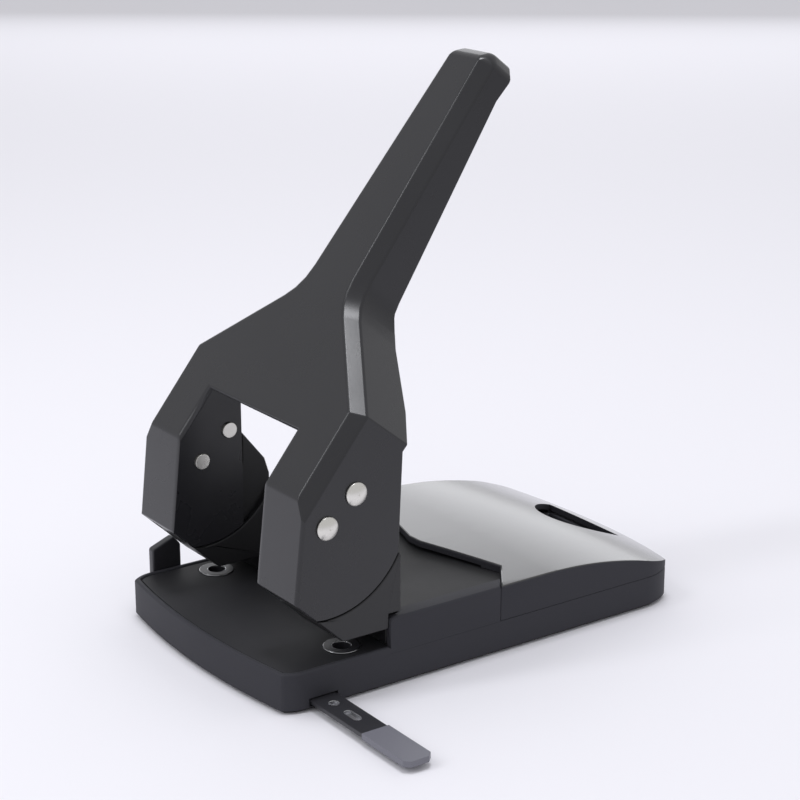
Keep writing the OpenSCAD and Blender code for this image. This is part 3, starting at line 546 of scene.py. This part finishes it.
class PUNCH_OT_pins(bpy.types.Operator):
    """Pivot and drive pins, turned and nickel plated"""

    bl_idname = "punch.pins"
    bl_label = "Pins"

    def execute(self, context):
        for side in SIDES:
            for kind in ("pivot", "drive"):
                rounded_copy(f"{side}_{kind}_pin", lambda edge: sizes().pin_edge, segments=2)
        return {"FINISHED"}


class PUNCH_OT_base(bpy.types.Operator):
    """Base shell and the rubber pad it stands on"""

    bl_idname = "punch.base"
    bl_label = "Base"

    def execute(self, context):
        rounded_copy("base_shell", self.radius_at)
        rounded_copy("base_pad", lambda edge: sizes().plate_edge, segments=2)
        return {"FINISHED"}

    def radius_at(self, edge):
        """Rounds the rim, the foot and the outer edge of the seam."""
        size = sizes()
        heights = [v.co.z for v in edge.verts]
        if min(heights) > RIM_LOW:
            return size.shell_edge
        if max(heights) < FOOT_TOP:
            return size.foot_edge
        screwed = near_axis(edge, Z, COVER_SCREWS, SCREW_REACH)
        on_seam = min(heights) > SEAM_LOW and max(heights) < SEAM_HIGH and not screwed
        outer = any(abs(f.normal.z) < PLUMB and f.normal.dot(f.calc_center_median() - BASE_MIDDLE) > 0
                    for f in edge.link_faces)
        return size.seam_edge if on_seam and outer else 0.0


class PUNCH_OT_table(bpy.types.Operator):
    """Paper table with its two dies"""

    bl_idname = "punch.table"
    bl_label = "Paper table and dies"

    def execute(self, context):
        rounded_copy("table_plate", self.radius_at, segments=2)
        for side in SIDES:
            # The die's faces are dark, and only its rounded rims are bright
            die = rounded_copy(f"{side}_die", self.radius_at, segments=2)
            die.data.materials.append(finish_for("guide_steel"))
            for face in die.data.polygons:
                face.material_index = 1
            die.modifiers[ROUNDED].material = 0
        return {"FINISHED"}

    def radius_at(self, edge):
        """Rounds only the edges of the upper faces."""
        looks_up = max(f.normal.z for f in edge.link_faces) > LEVEL
        on_top = looks_up and min(v.co.z for v in edge.verts) > TABLE_TOP
        return sizes().plate_edge if on_top else 0.0


class PUNCH_OT_heads(bpy.types.Operator):
    """Cast heads with their bushes and stop pads"""

    bl_idname = "punch.heads"
    bl_label = "Heads"

    def execute(self, context):
        for side in SIDES:
            rounded_copy(f"{side}_head", self.radius_at)
            rounded_copy(f"{side}_stop_pad", lambda edge: sizes().plate_edge, segments=2)
            dress(f"{side}_pivot_bush")
        return {"FINISHED"}

    def radius_at(self, edge):
        """Rounds all but the bores."""
        bored = near_axis(edge, X, PIN_AXES, BUSH_REACH) or near_axis(edge, Z, HEAD_BORES, HEAD_BORE_REACH)
        return 0.0 if bored else sizes().head_edge


class PUNCH_OT_cover(bpy.types.Operator):
    """Crowned rear cover, and the deck and rails in front of it"""

    bl_idname = "punch.cover"
    bl_label = "Rear cover and deck"

    def execute(self, context):
        # The crown is made of many shallow flats, so hardly any are joined
        cover = rounded_copy("rear_cover", self.radius_at, segments=4, flat_deg=0.05)
        cover.data.materials.append(finish_for("shell_plastic"))
        for face in cover.data.polygons:
            if abs(face.normal.z) < UPRIGHT:
                face.material_index = 1
        rounded_copy("deck_plate", self.deck_radius_at, segments=2)
        for side in SIDES:
            rounded_copy(f"{side}_rail", self.rail_radius_at)
        return {"FINISHED"}

    def radius_at(self, edge):
        """Rounds the lip, the outer rim and the seam below it, but not the rim of the finger slot."""
        size = sizes()
        side, top = sorted((f.normal for f in edge.link_faces), key=lambda n: n.z)
        middle = (edge.verts[0].co + edge.verts[1].co) / 2
        if top.z > UPWARD and abs(side.z) < UPRIGHT and middle.z > COVER_LOW:
            if abs(middle.x) < SLOT_HALF and SLOT_FRONT < middle.y < SLOT_REAR:
                return 0.0
            if abs(middle.x) < COVER_SIDE and middle.y < SLOT_FRONT:
                return size.lip_edge
            radius = size.cover_edge * min(1.0, (RIM_FADE_END - middle.y) / RIM_FADE)
            return radius if radius > RIM_LEAST else 0.0
        outer = abs(middle.x) > COVER_SIDE or middle.y > SLOT_FRONT
        if abs(top.z) < UPRIGHT and side.z < -UPWARD:
            return size.seam_edge if outer and top.dot(middle - BASE_MIDDLE) > 0 else 0.0
        return 0.0

    def rail_radius_at(self, edge):
        """Rounds the rail's top and its upright ends."""
        low = min(v.co.z for v in edge.verts) < COVER_LOW
        if low or near_axis(edge, Z, COVER_SCREWS, SCREW_REACH):
            return 0.0
        looks_up = max(f.normal.z for f in edge.link_faces) > UPWARD
        front = looks_up and max(v.co.y for v in edge.verts) < RAIL_FRONT
        return sizes().rail_end if front else sizes().lip_edge

    def deck_radius_at(self, edge):
        """Rounds the edges of the deck's upper face."""
        looks_up = max(f.normal.z for f in edge.link_faces) > LEVEL
        return sizes().plate_edge * SOFT_PLATE if looks_up else 0.0


class PUNCH_OT_punches(bpy.types.Operator):
    """Punch rods, yokes and return springs"""

    bl_idname = "punch.punches"
    bl_label = "Punches and springs"

    def execute(self, context):
        for side in SIDES:
            rounded_copy(f"{side}_yoke", lambda edge: sizes().plate_edge * SOFT_YOKE, segments=2)
            dress(f"{side}_punch")
            self.spring(f"{side}_spring", f"{side}_punch_slide")
        return {"FINISHED"}

    def spring(self, node, slide):
        """A wire section turned up a helix."""
        size = sizes()
        low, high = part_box(node)
        wire = size.spring_wire / 2
        middle = (low + high) / 2
        start = (middle.x + size.spring_coil / 2, middle.y, low.z + wire)
        rise = (high.z - low.z - 2 * wire) / size.spring_turns
        steps = TURN_STEPS * size.spring_turns
        bm = bmesh.new()
        ring = bmesh.ops.create_circle(bm, cap_ends=True, radius=wire, segments=WIRE_SIDES)
        upright = Matrix.Rotation(math.pi / 2, 3, "X")
        bmesh.ops.rotate(bm, verts=ring["verts"], cent=(0, 0, 0), matrix=upright)
        bmesh.ops.translate(bm, verts=ring["verts"], vec=start)
        bmesh.ops.spin(
            bm, geom=bm.verts[:] + bm.edges[:] + bm.faces[:], cent=middle, axis=(0, 0, 1),
            dvec=(0, 0, rise * size.spring_turns / steps), angle=2 * math.pi * size.spring_turns,
            steps=steps)
        bmesh.ops.remove_doubles(bm, verts=bm.verts[:], dist=WIRE_MERGE)
        bmesh.ops.recalc_face_normals(bm, faces=bm.faces[:])
        piece = place_piece(bm, node)
        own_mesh(piece)


class PUNCH_OT_guide(bpy.types.Operator):
    """Paper guide: bar, upright stop and pull tab"""

    bl_idname = "punch.guide"
    bl_label = "Paper guide"

    def execute(self, context):
        bar = rounded_copy("guide_bar", self.bar_radius_at, segments=2)
        # The walls of the hole and the slot are bare metal
        bar.data.materials.append(finish_for("tool_steel"))
        for face in bar.data.polygons:
            inward = abs(face.center.y - BAR_Y) < BAR_HOLE_HALF and abs(face.normal.z) < WALL
            if inward and BAR_HOLES[0] < face.center.x < BAR_HOLES[1]:
                face.material_index = 1
        rounded_copy("guide_stop", self.stop_radius_at)
        rounded_copy("guide_tab", lambda edge: sizes().plate_edge, segments=2)
        dress("guide_rivets")
        return {"FINISHED"}

    def bar_radius_at(self, edge):
        """Rounds all of the bar but its rivet holes."""
        return 0.0 if near_axis(edge, Z, RIVETS, RIVET_REACH) else sizes().plate_edge

    def stop_radius_at(self, edge):
        """Rounds all of the stop but its rivet holes."""
        return 0.0 if near_axis(edge, Z, RIVETS, RIVET_REACH) else sizes().stop_edge


class PUNCH_OT_drawer(bpy.types.Operator):
    """Chip drawer that draws out at the rear"""

    bl_idname = "punch.drawer"
    bl_label = "Chip drawer"

    def execute(self, context):
        rounded_copy("chip_drawer", lambda edge: sizes().plate_edge * SOFT_PLATE)
        return {"FINISHED"}


class PUNCH_OT_fasteners(bpy.types.Operator):
    """Screws and the guide's spring clip"""

    bl_idname = "punch.fasteners"
    bl_label = "Fasteners"

    def execute(self, context):
        for node in ("head_screws", "cover_screws", "guide_clip"):
            dress(node)
        return {"FINISHED"}


class PUNCH_OT_stage(bpy.types.Operator):
    """Pale floor, soft studio light and the camera"""

    bl_idname = "punch.stage"
    bl_label = "Studio"

    def execute(self, context):
        scene = context.scene
        scene.view_settings.view_transform = "Standard"
        self.floor(scene)
        self.surround(scene)
        for lamp in LAMPS:
            self.softbox(scene, *lamp)
        camera = bpy.data.objects.new("Camera", bpy.data.cameras.new("Camera"))
        camera.data.sensor_width = CAMERA_SENSOR
        camera.data.lens = CAMERA_LENS
        camera.location = CAMERA_PLACE
        camera.rotation_euler = (CAMERA_TILT, 0.0, CAMERA_TURN)
        scene.collection.objects.link(camera)
        scene.camera = camera
        return {"FINISHED"}

    def floor(self, scene):
        """A plain matt sheet, much wider than the view."""
        bm = bmesh.new()
        bmesh.ops.create_grid(bm, x_segments=2, y_segments=2, size=FLOOR_HALF)
        mesh = bpy.data.meshes.new("Floor")
        bm.to_mesh(mesh)
        bm.free()
        floor = bpy.data.objects.new("Floor", mesh)
        scene.collection.objects.link(floor)
        material, _, shader = new_material("Pale studio floor")
        shader.inputs["Base Color"].default_value = tuple(scene.punch_colours.floor)
        shader.inputs["Roughness"].default_value = 0.9
        shader.inputs["Specular IOR Level"].default_value = 0.2
        mesh.materials.append(material)

    def surround(self, scene):
        """An even white surround, as a light tent gives."""
        world = bpy.data.worlds.new("Light tent")
        scene.world = world
        world.use_nodes = True
        background = world.node_tree.nodes["Background"]
        background.inputs["Color"].default_value = SURROUND_COLOUR
        background.inputs["Strength"].default_value = SURROUND_STRENGTH

    def softbox(self, scene, name, place, aim, size, watts):
        """A flat lamp that faces its aim."""
        lamp = bpy.data.lights.new(name, "AREA")
        lamp.shape = "RECTANGLE"
        lamp.size, lamp.size_y = size
        lamp.energy = watts
        lamp.color = LAMP_COLOUR
        box = bpy.data.objects.new(name, lamp)
        box.location = place
        box.rotation_euler = (Vector(aim) - Vector(place)).to_track_quat("-Z", "Y").to_euler()
        scene.collection.objects.link(box)


PIECES = (
    PUNCH_OT_stage, PUNCH_OT_base, PUNCH_OT_table, PUNCH_OT_heads, PUNCH_OT_cover, PUNCH_OT_lever,
    PUNCH_OT_pins, PUNCH_OT_punches, PUNCH_OT_guide, PUNCH_OT_drawer, PUNCH_OT_fasteners)


class PUNCH_PT_panel(bpy.types.Panel):
    """Lists the makers of the punch's pieces"""

    bl_idname = "PUNCH_PT_panel"
    bl_label = "Two-hole punch"
    bl_space_type = "VIEW_3D"
    bl_region_type = "UI"
    bl_category = "Punch"

    def draw(self, context):
        for operator in PIECES:
            self.layout.operator(operator.bl_idname)
        for group in (context.scene.punch_sizes, context.scene.punch_colours):
            column = self.layout.column(align=True)
            for key in group.__annotations__:
                column.prop(group, key)


CLASSES = (PunchSizes, PunchColours, *PIECES, PUNCH_PT_panel)


def register():
    for cls in CLASSES:
        bpy.utils.register_class(cls)
    bpy.types.Scene.punch_sizes = bpy.props.PointerProperty(type=PunchSizes)
    bpy.types.Scene.punch_colours = bpy.props.PointerProperty(type=PunchColours)


def unregister():
    del bpy.types.Scene.punch_colours
    del bpy.types.Scene.punch_sizes
    for cls in reversed(CLASSES):
        bpy.utils.unregister_class(cls)


def main():
    register()
    for operator in PIECES:
        group, name = operator.bl_idname.split(".")
        getattr(getattr(bpy.ops, group), name)()


if __name__ == "__main__":
    main()
